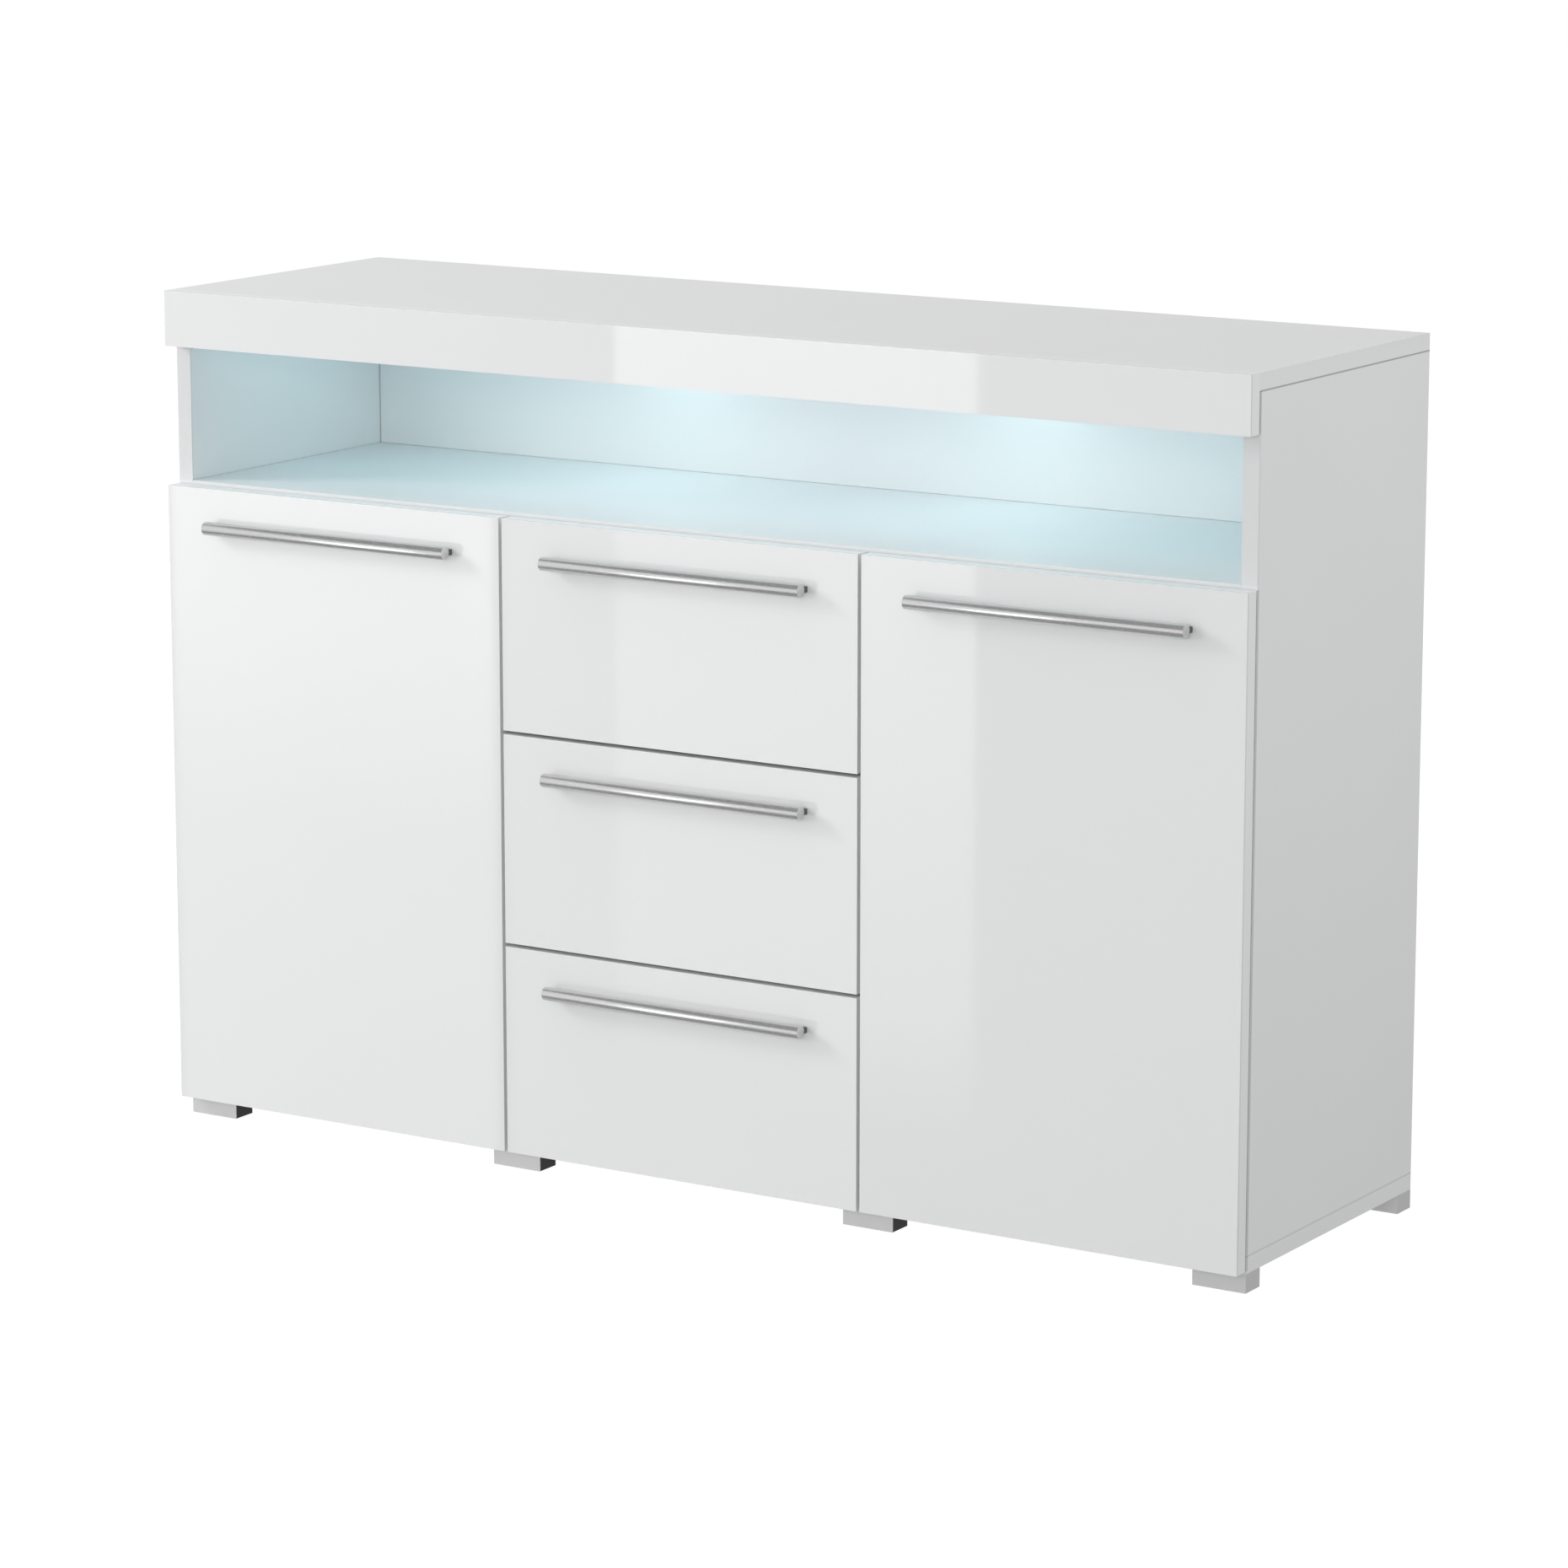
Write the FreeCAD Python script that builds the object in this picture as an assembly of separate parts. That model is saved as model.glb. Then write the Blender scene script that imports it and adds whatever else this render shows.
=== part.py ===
"""Sideboard buffet: two doors, three drawers and a lit open niche under the top.

Units are millimetres. X runs to the right, Y to the back and Z up. The fronts face -Y.
The origin is on the floor, at the middle of the whole object's width and depth.
"""
import FreeCAD
import Part
import math
import os

Vector = FreeCAD.Vector

# ---------------------------------------------------------------- driving dimensions
WIDTH = 1320.0
HEIGHT = 920.0
BODY_DEPTH = 390.0            # front faces to the rear edges of the carcass
BOARD = 18.0                  # thickness of every carcass board and front
FOOT_HEIGHT = 20.0
BUMPER_GAP = 2.0              # between a closed front and the carcass
FRONT_GAP = 4.0               # between neighbouring fronts
FRONTS_BOTTOM = 22.5
FRONTS_TOP = 708.0
NICHE_FLOOR_TOP = 712.0
FASCIA_HEIGHT = 60.0
NICHE_BACK_OFFSET = 365.0     # front faces to the visible face of the niche back
REAR_PANEL = 3.0
PANEL_FIT = 0.2               # play of a thin panel in its groove
GROOVE_DEPTH = 8.0

HANDLE_LENGTH = 318.0
HANDLE_RADIUS = 7.0
HANDLE_PROJECTION = 20.0
HANDLE_DROP = 41.0            # bar centre below the top edge of its front
POST_LENGTH = 10.0
POST_HEIGHT = 6.0
HANDLE_SCREW_RADIUS = 2.0

FOOT_LENGTH = 60.0
FOOT_DEPTH = 30.0
TRIM = 1.0

SLIDE_LENGTH = 350.0
SLIDE_THICKNESS = 12.7
SLIDE_SETBACK = 1.0           # rail ends behind the front edges of the partitions
RAIL_SHEET = 1.2
DRAWER_SIDE = 12.0
DRAWER_LENGTH = 355.0
DRAWER_HEIGHT = 150.0
DRAWER_LIFT = 30.0            # underside of the box above the underside of its front
DRAWER_BOTTOM = 3.0
BOTTOM_RISE = 12.0            # drawer bottom above the lower edge of the sides
BOTTOM_GROOVE = 6.0

LINK_PIVOT = (36.6, -3.8)     # from the outer face of the side and the carcass front
LINK_MIDDLE = (-13.96, -6.73)  # from the link pivot, on the link's curved centre line
LINK_END = (-25.1, -0.62)
LINK_THICKNESS = 2.2
LINK_WIDTH = 5.4
HINGE_SETBACK = 100.0         # hinge centre from the door's top or bottom edge
HINGE_BASE = 2.0              # thickness of the mounting plate
HINGE_RIDGE = 6.0             # height of the ridge that carries the arm
CUP_RADIUS = 17.5
CUP_WALL = 0.8
CUP_DEPTH = 11.5
CUP_CENTRE = 22.5             # from the door's hinged edge
PIN_RADIUS = 0.8
PIN_PLAY = 0.05

SHELF_HEIGHT = 366.0
SHELF_SETBACK = 40.0
SHELF_REAR_GAP = 10.0
SHELF_PLAY = 1.0
PIN_PITCH = 32.0

LAMP_RADIUS = 32.0
LAMP_HEIGHT = 10.0
LAMP_SETBACK = 305.0
LENS_RADIUS = 26.0
DRIVER_SIZE = (80.0, 44.0, 18.0)
LEAD_RADIUS = 1.6
OUTLET_RADIUS = 12.0

# ---------------------------------------------------------------- worked-out places
HALF = WIDTH / 2
TOTAL_DEPTH = BODY_DEPTH + HANDLE_PROJECTION
FACE = -TOTAL_DEPTH / 2 + HANDLE_PROJECTION      # plane of the front faces
REAR = TOTAL_DEPTH / 2
CARCASS_FRONT = FACE + BOARD + BUMPER_GAP
NICHE_BACK = FACE + NICHE_BACK_OFFSET
INNER_REAR = NICHE_BACK + BOARD                  # front face of the thin rear panel
TOP_UNDERSIDE = HEIGHT - BOARD
FLOOR_TOP = FOOT_HEIGHT + BOARD
NICHE_FLOOR_UNDERSIDE = NICHE_FLOOR_TOP - BOARD
FRONT_WIDTH = (WIDTH - 2 * FRONT_GAP) / 3
DRAWER_FRONT_HEIGHT = (FRONTS_TOP - FRONTS_BOTTOM - 2 * FRONT_GAP) / 3
PARTITION_X = FRONT_WIDTH / 2 + FRONT_GAP / 2
INNER_HALF = HALF - BOARD
BAY_HALF = PARTITION_X - BOARD / 2               # half the width of the drawer bay
DOOR_CENTRE = HALF - FRONT_WIDTH / 2
HINGE_HEIGHTS = (FRONTS_BOTTOM + HINGE_SETBACK, FRONTS_TOP - HINGE_SETBACK)
DRAWERS = ("bottom", "middle", "top")

nodes = {}
holes = {}
carcass_fittings = []
dowels = []


# ---------------------------------------------------------------- general helpers
def box(x0, x1, y0, y1, z0, z1):
    """A box between two corners given as low and high values of each axis."""
    return Part.makeBox(x1 - x0, y1 - y0, z1 - z0, Vector(x0, y0, z0))


def rod(radius, start, direction, length):
    """A cylinder from a start point along a direction."""
    return Part.makeCylinder(radius, length, Vector(*start), Vector(*direction))


def mirrored(shape):
    """The shape reflected from the left half to the right half."""
    return shape.mirror(Vector(0, 0, 0), Vector(1, 0, 0))


def both_sides(shapes):
    """The shapes of the left half, followed by their mirror images."""
    return list(shapes) + [mirrored(shape) for shape in shapes]


def drill(name, *tools):
    """Remember tools that will be cut from the named panel."""
    holes.setdefault(name, []).extend(tools)


def add(name, *shapes):
    """Store the solids of one named node."""
    nodes[name] = list(shapes)


def along(point, direction, distance):
    """The point moved along a direction."""
    return tuple(p + d * distance for p, d in zip(point, direction))


def opposite(direction):
    """The reversed direction."""
    return tuple(-d for d in direction)


# ---------------------------------------------------------------- carcass
def carcass_boards():
    """The boards of the carcass, before their holes are cut."""
    top_front = FACE + BOARD
    add("top_panel", box(-HALF, HALF, top_front, REAR, TOP_UNDERSIDE, HEIGHT))
    add("front_fascia", box(-HALF, HALF, FACE, top_front, HEIGHT - FASCIA_HEIGHT, HEIGHT))
    add("bottom_panel", box(-HALF, HALF, CARCASS_FRONT, REAR, FOOT_HEIGHT, FLOOR_TOP))
    side = box(-HALF, -INNER_HALF, CARCASS_FRONT, REAR, FLOOR_TOP, TOP_UNDERSIDE)
    add("left_side_panel", side)
    add("right_side_panel", mirrored(side))
    add("niche_floor_panel", box(-INNER_HALF, INNER_HALF, CARCASS_FRONT, INNER_REAR,
                                 NICHE_FLOOR_UNDERSIDE, NICHE_FLOOR_TOP))
    add("niche_back_panel", box(-INNER_HALF, INNER_HALF, NICHE_BACK, INNER_REAR,
                                NICHE_FLOOR_TOP, TOP_UNDERSIDE))
    partition = box(-BAY_HALF - BOARD, -BAY_HALF, CARCASS_FRONT, INNER_REAR,
                    FLOOR_TOP, NICHE_FLOOR_UNDERSIDE)
    add("left_partition", partition)
    add("right_partition", mirrored(partition))


def rear_panel():
    """The thin rear panel and the grooves that hold it."""
    reach = GROOVE_DEPTH - PANEL_FIT
    y0 = INNER_REAR + PANEL_FIT
    y1 = y0 + REAR_PANEL
    add("rear_panel", box(-INNER_HALF - reach, INNER_HALF + reach, y0, y1,
                          FLOOR_TOP - reach, TOP_UNDERSIDE + reach))
    groove = box(-INNER_HALF - GROOVE_DEPTH, INNER_HALF + GROOVE_DEPTH, INNER_REAR, y1 + PANEL_FIT,
                 FLOOR_TOP - GROOVE_DEPTH, TOP_UNDERSIDE + GROOVE_DEPTH)
    for name in ("top_panel", "bottom_panel", "left_side_panel", "right_side_panel"):
        drill(name, groove)


def shelves():
    """One shelf in each cupboard, on four pins, with spare pin holes above and below."""
    pin_radius = 2.5
    pin_hole = 9.0
    pin_reach = 8.0
    collar_radius = 4.5
    collar = 0.8
    x0 = -INNER_HALF + SHELF_PLAY
    x1 = -BAY_HALF - BOARD - SHELF_PLAY
    y0 = CARCASS_FRONT + SHELF_SETBACK
    y1 = INNER_REAR - SHELF_REAR_GAP
    shelf = box(x0, x1, y0, y1, SHELF_HEIGHT, SHELF_HEIGHT + BOARD)
    add("left_shelf", shelf)
    add("right_shelf", mirrored(shelf))
    pins = []
    pin_z = SHELF_HEIGHT - pin_radius
    supports = (("side_panel", -INNER_HALF, 1), ("partition", -BAY_HALF - BOARD, -1))
    for panel, face_x, inward in supports:
        for y in (y0 + SHELF_SETBACK, y1 - SHELF_SETBACK):
            for step in (-2, -1, 0, 1, 2):
                mouth = (face_x, y, pin_z + step * PIN_PITCH)
                hole = rod(pin_radius, mouth, (-inward, 0, 0), pin_hole)
                drill("left_" + panel, hole)
                drill("right_" + panel, mirrored(hole))
            back = along((face_x, y, pin_z), (-inward, 0, 0), pin_hole)
            pin = rod(pin_radius, back, (inward, 0, 0), pin_hole + pin_reach)
            ring = rod(collar_radius, (face_x, y, pin_z), (inward, 0, 0), collar)
            flat = box(face_x - pin_reach, face_x + pin_reach, y - collar_radius, y + collar_radius,
                       SHELF_HEIGHT, SHELF_HEIGHT + collar_radius)
            pins.append(pin.fuse(ring).cut(flat).removeSplitter())
    add("shelf_pins", *both_sides(pins))


def cam_fitting(cam_panel, other_panel, edge_point, into, face):
    """A cam, its bolt and a dowel across one joint of the left half, as solids and holes.

    edge_point is on the joint plane at the middle of the cam panel's thickness, into points
    into the cam panel, and face points to the side that shows the cam.
    """
    cam_radius = 7.5
    cam_depth = 12.5
    setback = 34.0
    bolt_radius = 3.0
    bolt_reach = 11.0
    slot_width = 1.6
    slot_half = 0.7 * cam_radius
    fit = 0.05
    centre = along(edge_point, into, setback)
    mouth = along(centre, face, BOARD / 2)
    cam = rod(cam_radius, mouth, opposite(face), cam_depth)
    tip = along(edge_point, into, -bolt_reach)
    bolt = rod(bolt_radius, tip, into, bolt_reach + setback - cam_radius - fit)
    hollow = rod(cam_radius + fit, mouth, opposite(face), cam_depth)
    tunnel = rod(bolt_radius + fit, tip, into, bolt_reach + setback)
    for turn in (45, 135):
        slot = box(-slot_half, slot_half, -slot_width / 2, slot_width / 2, -slot_width, slot_width)
        slot.rotate(Vector(0, 0, 0), Vector(0, 0, 1), turn)
        facing = FreeCAD.Placement(Vector(*mouth), FreeCAD.Rotation(Vector(0, 0, 1), Vector(*face)))
        slot.Placement = facing.multiply(slot.Placement)
        cam = cam.cut(slot)
    return [cam, bolt], {cam_panel: [hollow, tunnel], other_panel: [tunnel]}


def dowel_joint(panel_a, panel_b, point, direction):
    """A wood dowel across a joint: 24 mm into panel_a along direction, 11 mm into panel_b."""
    radius = 4.0
    fit = 0.05
    deep = 24.0
    shallow = 11.0
    start = along(point, direction, -shallow)
    dowel = rod(radius, start, direction, deep + shallow)
    hole = rod(radius + fit, start, direction, deep + shallow)
    return dowel, {panel_a: [hole], panel_b: [hole]}


def swap_side(name):
    """The right-hand name of a left-hand panel; other names stay as they are."""
    return name.replace("left_", "right_")


def joinery():
    """Cam fittings and dowels at every joint between carcass boards."""
    mid_side = -HALF + BOARD / 2
    mid_partition = -PARTITION_X
    mid_niche_floor = NICHE_FLOOR_TOP - BOARD / 2
    inward = (1, 0, 0)
    up = (0, 0, 1)
    down = (0, 0, -1)
    front_setback = 50.0
    rear_setback = 60.0
    fascia_peg_setback = 30.0
    front_y = CARCASS_FRONT + front_setback
    rear_y = INNER_REAR - rear_setback
    joints = []
    for y in (front_y, rear_y):
        joints.append(("left_side_panel", "top_panel", (mid_side, y, TOP_UNDERSIDE), down, inward))
        joints.append(("left_side_panel", "bottom_panel", (mid_side, y, FLOOR_TOP), up, inward))
        joints.append(("left_partition", "bottom_panel", (mid_partition, y, FLOOR_TOP), up, (-1, 0, 0)))
        joints.append(("left_partition", "niche_floor_panel",
                       (mid_partition, y, NICHE_FLOOR_UNDERSIDE), down, (-1, 0, 0)))
        joints.append(("niche_floor_panel", "left_side_panel",
                       (-INNER_HALF, y, mid_niche_floor), inward, down))
    pieces = []
    pegs = []
    for cam_panel, other_panel, point, into, face in joints:
        solids, cuts = cam_fitting(cam_panel, other_panel, point, into, face)
        peg, peg_cuts = dowel_joint(cam_panel, other_panel, along(point, (0, 1, 0), PIN_PITCH), into)
        pieces.extend(solids)
        pegs.append(peg)
        for found in (cuts, peg_cuts):
            for name, tools in found.items():
                for tool in tools:
                    drill(name, tool)
                    drill(swap_side(name), mirrored(tool))
    for x in (INNER_HALF - fascia_peg_setback, PARTITION_X):
        point = (-x, FACE + BOARD, HEIGHT - BOARD / 2)
        peg, peg_cuts = dowel_joint("top_panel", "front_fascia", point, (0, 1, 0))
        pegs.append(peg)
        for name, tools in peg_cuts.items():
            for tool in tools:
                drill(name, tool, mirrored(tool))
    carcass_fittings.extend(both_sides(pieces))
    dowels.extend(both_sides(pegs))


# ---------------------------------------------------------------- feet
def foot(x0, x1, y0, y1, trim_outer):
    """One foot: a dark body, a silver trim on its front and outer faces, and two screws.

    trim_outer is -1 for a trim on the low-X face, 1 for the high-X face and 0 for neither.
    """
    body_x0 = x0 + TRIM * (trim_outer < 0)
    body_x1 = x1 - TRIM * (trim_outer > 0)
    whole = box(x0, x1, y0, y1, 0, FOOT_HEIGHT)
    body = box(body_x0, body_x1, y0 + TRIM, y1, 0, FOOT_HEIGHT)
    trim = whole.cut(body)
    head_radius = 3.6
    head_height = 2.0
    shank_radius = 1.75
    recess = 8.0
    grip = 12.0
    fit = 0.05
    screw_places = (0.3, 0.7)
    screws = []
    for part_of_length in screw_places:
        x = x0 + (x1 - x0) * part_of_length
        y = (y0 + y1) / 2
        head = rod(head_radius, (x, y, recess - head_height), (0, 0, 1), head_height)
        shank = rod(shank_radius, (x, y, recess), (0, 0, 1), FOOT_HEIGHT - recess + grip)
        screws.append(head.fuse(shank))
        way = rod(shank_radius + fit, (x, y, recess), (0, 0, 1), FOOT_HEIGHT - recess + grip)
        body = body.cut(rod(head_radius + fit, (x, y, 0), (0, 0, 1), recess)).cut(way)
        drill("bottom_panel", way)
    return body, trim, screws


def feet():
    """Four feet along the front edge and four along the rear edge."""
    centres = (-HALF + FOOT_LENGTH / 2, -PARTITION_X, PARTITION_X, HALF - FOOT_LENGTH / 2)
    bodies = []
    trims = []
    screws = []
    for y0 in (CARCASS_FRONT, REAR - FOOT_DEPTH):
        for x, trim_outer in zip(centres, (-1, 0, 0, 1)):
            x0 = x - FOOT_LENGTH / 2
            body, trim, fixings = foot(x0, x0 + FOOT_LENGTH, y0, y0 + FOOT_DEPTH, trim_outer)
            bodies.append(body)
            trims.append(trim)
            screws.extend(fixings)
    add("feet", *bodies)
    add("foot_trims", *trims)
    add("foot_screws", *screws)


# ---------------------------------------------------------------- niche lighting
def lights():
    """Two round lamps under the top, their leads, the lamp driver and its lead outlet."""
    y = FACE + LAMP_SETBACK
    z0 = TOP_UNDERSIDE - LAMP_HEIGHT
    rim = 2.0
    lens_depth = 3.0
    cavity_top = 7.0
    lead_entry = 1.0
    housings = []
    lenses = []
    leads = []
    driver_x, driver_y, driver_z = DRIVER_SIZE
    for x in (-PARTITION_X, PARTITION_X):
        shell = rod(LAMP_RADIUS, (x, y, z0), (0, 0, 1), LAMP_HEIGHT)
        seat = rod(LENS_RADIUS, (x, y, z0), (0, 0, 1), lens_depth)
        cavity = rod(LENS_RADIUS - rim, (x, y, z0), (0, 0, 1), cavity_top)
        housings.append(shell.cut(seat).cut(cavity))
        lenses.append(rod(LENS_RADIUS, (x, y, z0), (0, 0, 1), lens_depth))
        inward = -1 if x > 0 else 1
        start = (x + inward * (LAMP_RADIUS - lead_entry), y, TOP_UNDERSIDE - LEAD_RADIUS)
        run = PARTITION_X - LAMP_RADIUS - driver_x / 2 + 2 * lead_entry
        leads.append(rod(LEAD_RADIUS, start, (inward, 0, 0), run))
    driver = box(-driver_x / 2, driver_x / 2, y - driver_y / 2, y + driver_y / 2,
                 TOP_UNDERSIDE - driver_z, TOP_UNDERSIDE)
    inlet_radius = 2.75
    inlet_depth = 9.0
    inlet_z = TOP_UNDERSIDE - driver_z / 2
    inlet = rod(inlet_radius, (0, y + driver_y / 2, inlet_z), (0, -1, 0), inlet_depth)
    driver = driver.cut(inlet)
    for lead in leads:
        driver = driver.cut(lead)
    housings = [housing.cut(lead) for housing, lead in zip(housings, leads)]
    add("lamp_housings", *housings)
    add("lamp_lenses", *lenses)
    add("lamp_leads", *leads)
    add("lamp_driver", driver)
    outlet = rod(OUTLET_RADIUS, (0, NICHE_BACK, inlet_z), (0, 1, 0), BOARD)
    drill("niche_back_panel", outlet)
    drill("rear_panel", rod(OUTLET_RADIUS, (0, INNER_REAR, inlet_z), (0, 1, 0), GROOVE_DEPTH))


# ---------------------------------------------------------------- handles
def handle(centre_x, front_top, front_name):
    """A bar handle with a post flush with each of its ends, and a screw into each post."""
    z = front_top - HANDLE_DROP
    y = FACE - HANDLE_PROJECTION + HANDLE_RADIUS
    half = HANDLE_LENGTH / 2
    fit = 0.05
    thread = 9.0
    head_radius = 3.8
    head_height = 1.4
    bar = rod(HANDLE_RADIUS, (centre_x - half, y, z), (1, 0, 0), HANDLE_LENGTH)
    fittings = []
    for side in (-1, 1):
        outer = centre_x + side * half
        inner = outer - side * POST_LENGTH
        middle = (outer + inner) / 2
        z0 = z - POST_HEIGHT / 2
        post = box(min(outer, inner), max(outer, inner), y, FACE, z0, z0 + POST_HEIGHT).cut(bar)
        back = FACE + BOARD
        shank = rod(HANDLE_SCREW_RADIUS, (middle, back, z), (0, -1, 0), BOARD + thread)
        socket = rod(HANDLE_SCREW_RADIUS + fit, (middle, back, z), (0, -1, 0), BOARD + thread)
        head = rod(head_radius, (middle, back, z), (0, 1, 0), head_height)
        bar = bar.cut(socket)
        fittings.append(post.cut(socket))
        fittings.append(shank.fuse(head))
        drill(front_name, socket)
    return bar, fittings


# ---------------------------------------------------------------- doors and hinges
def at_hinge(x, y):
    """A place given from the left side's outer face and the carcass front."""
    return -HALF + x, CARCASS_FRONT + y


def plate_shape(points, z0, z1):
    """A flat plate with straight edges through the points, between two heights."""
    corners = [Vector(*at_hinge(x, y), z0) for x, y in points]
    outline = Part.makePolygon(corners + corners[:1])
    return Part.Face(outline).extrude(Vector(0, 0, z1 - z0))


def arc_centre(middle, end):
    """The centre of the circle through the origin and two more points."""
    cross = 2 * (middle[0] * end[1] - middle[1] * end[0])
    middle_square = middle[0] ** 2 + middle[1] ** 2
    end_square = end[0] ** 2 + end[1] ** 2
    x = (end[1] * middle_square - middle[1] * end_square) / cross
    y = (middle[0] * end_square - end[0] * middle_square) / cross
    return x, y


def hinge_link(z):
    """The curved link of one hinge, with a bore for the arm's pin at its first end."""
    pivot = at_hinge(*LINK_PIVOT)
    ends = ((0.0, 0.0), LINK_END)
    centre = arc_centre(LINK_MIDDLE, LINK_END)
    radius = math.hypot(*centre)
    z0 = z - LINK_WIDTH / 2
    half = LINK_THICKNESS / 2
    eye_wall = 0.3
    middle = (pivot[0] + centre[0], pivot[1] + centre[1], z0)
    ring = rod(radius + half, middle, (0, 0, 1), LINK_WIDTH)
    ring = ring.cut(rod(radius - half, middle, (0, 0, 1), LINK_WIDTH))
    beyond = 3.0                  # the wedge that keeps the link reaches this many radii
    corners = [centre]
    for end in ends:
        corners.append(tuple(c + (e - c) * beyond for c, e in zip(centre, end)))
    points = [Vector(pivot[0] + x, pivot[1] + y, z0) for x, y in corners]
    wedge = Part.Face(Part.makePolygon(points + points[:1])).extrude(Vector(0, 0, LINK_WIDTH))
    link = ring.common(wedge)
    for x, y in ends:
        link = link.fuse(rod(half + eye_wall, (pivot[0] + x, pivot[1] + y, z0), (0, 0, 1), LINK_WIDTH))
    bore = rod(PIN_RADIUS + PIN_PLAY, (*pivot, z0), (0, 0, 1), LINK_WIDTH)
    return link.cut(bore).removeSplitter()


def hinge_slab(x0, x1, depth, middle, half_height):
    """A rectangular part of a hinge: depth gives its front and rear, middle its height."""
    y0, y1 = depth
    corners = [(x0, y0), (x1, y0), (x1, y1), (x0, y1)]
    return plate_shape(corners, middle - half_height, middle + half_height)


def hinge_plate(z):
    """The cross-shaped mounting plate of one hinge and its two screws."""
    base_depth = (20.0, 56.0)
    base_half = 9.0
    wing_depth = (30.0, 44.0)
    wing_half = 24.0
    ridge_depth = (22.0, 54.0)
    ridge_half = 5.0
    screw_y = 37.0
    screw_step = 16.0
    screw_radius = 2.5
    screw_grip = 11.0
    head_radius = 4.0
    head_height = 1.8
    fit = 0.05
    plate_top = BOARD + HINGE_BASE
    base = hinge_slab(BOARD, plate_top, base_depth, z, base_half)
    wings = hinge_slab(BOARD, plate_top, wing_depth, z, wing_half)
    ridge = hinge_slab(plate_top, plate_top + HINGE_RIDGE, ridge_depth, z, ridge_half)
    plate = base.fuse(wings).fuse(ridge).removeSplitter()
    screws = []
    for step in (-screw_step, screw_step):
        start = (*at_hinge(BOARD - screw_grip, screw_y), z + step)
        seat = (*at_hinge(plate_top, screw_y), z + step)
        shank = rod(screw_radius, start, (1, 0, 0), screw_grip + HINGE_BASE)
        screws.append(shank.fuse(rod(head_radius, seat, (1, 0, 0), head_height)))
        way = rod(screw_radius + fit, start, (1, 0, 0), screw_grip + HINGE_BASE)
        plate = plate.cut(way)
        drill("left_side_panel", way)
        drill("right_side_panel", mirrored(way))
    return plate, screws


def hinge_arm(z):
    """The arm of one hinge: a channel over the plate's ridge, two nose cheeks and the pin."""
    crown = 30.0                  # inner face of the channel's web, from the side's outer face
    sheet = 1.5
    half_width = 8.0
    arm_depth = (12.0, 62.0)
    hollow_depth = (11.0, 63.0)
    skirt = 4.0                   # how far the channel's flanges reach beside the ridge
    cheek_gap = 0.3
    nose_radius = 1.3
    adjuster_y = 40.0
    adjuster_radius = 2.5
    adjuster_height = 1.2
    ridge_top = BOARD + HINGE_BASE + HINGE_RIDGE
    arm = hinge_slab(ridge_top - skirt, crown, arm_depth, z, half_width)
    arm = arm.cut(hinge_slab(ridge_top - skirt, ridge_top, hollow_depth, z, half_width - sheet))
    tip_x, tip_y = LINK_PIVOT
    nose_points = [
        (ridge_top, 13.0), (crown, 13.0), (tip_x + 1.4, tip_y + 3.0), (tip_x + nose_radius, tip_y),
        (tip_x - nose_radius, tip_y), (ridge_top + 3.0, 4.0), (ridge_top, 8.0),
    ]
    inner = LINK_WIDTH / 2 + cheek_gap
    outer = inner + sheet
    place = at_hinge(*LINK_PIVOT)
    for low in (z - outer, z + inner):
        arm = arm.fuse(plate_shape(nose_points, low, low + sheet))
        arm = arm.fuse(rod(nose_radius, (*place, low), (0, 0, 1), sheet))
    pin = rod(PIN_RADIUS, (*place, z - outer), (0, 0, 1), 2 * outer)
    adjuster = rod(adjuster_radius, (*at_hinge(crown, adjuster_y), z), (1, 0, 0), adjuster_height)
    return arm.fuse(pin).fuse(adjuster).removeSplitter()


def hinge_cup(z):
    """The cup of one hinge, set in the back of the door, with its flange and two screws."""
    flange = 1.2
    flange_radius = 19.0
    wing = 30.0
    wing_half = 7.0
    screw_step = 24.0
    screw_radius = 1.75
    grip = 11.0
    fit = 0.05
    x, back = at_hinge(CUP_CENTRE, -BUMPER_GAP)
    cup = rod(CUP_RADIUS, (x, back, z), (0, -1, 0), CUP_DEPTH)
    cup = cup.fuse(rod(flange_radius, (x, back, z), (0, 1, 0), flange))
    cup = cup.fuse(box(x - wing_half, x + wing_half, back, back + flange, z - wing, z + wing))
    bowl_depth = CUP_DEPTH + flange - CUP_WALL
    cup = cup.cut(rod(CUP_RADIUS - CUP_WALL, (x, back + flange, z), (0, -1, 0), bowl_depth))
    pocket = rod(CUP_RADIUS + fit, (x, back, z), (0, -1, 0), CUP_DEPTH + fit)
    solids = []
    for step in (-screw_step, screw_step):
        shank = rod(screw_radius, (x, back + flange, z + step), (0, -1, 0), grip)
        way = rod(screw_radius + fit, (x, back + flange, z + step), (0, -1, 0), grip)
        solids.append(shank)
        cup = cup.cut(way)
        drill("left_door_panel", way)
        drill("right_door_panel", mirrored(way))
    drill("left_door_panel", pocket)
    drill("right_door_panel", mirrored(pocket))
    return [cup.removeSplitter()] + solids


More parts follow.
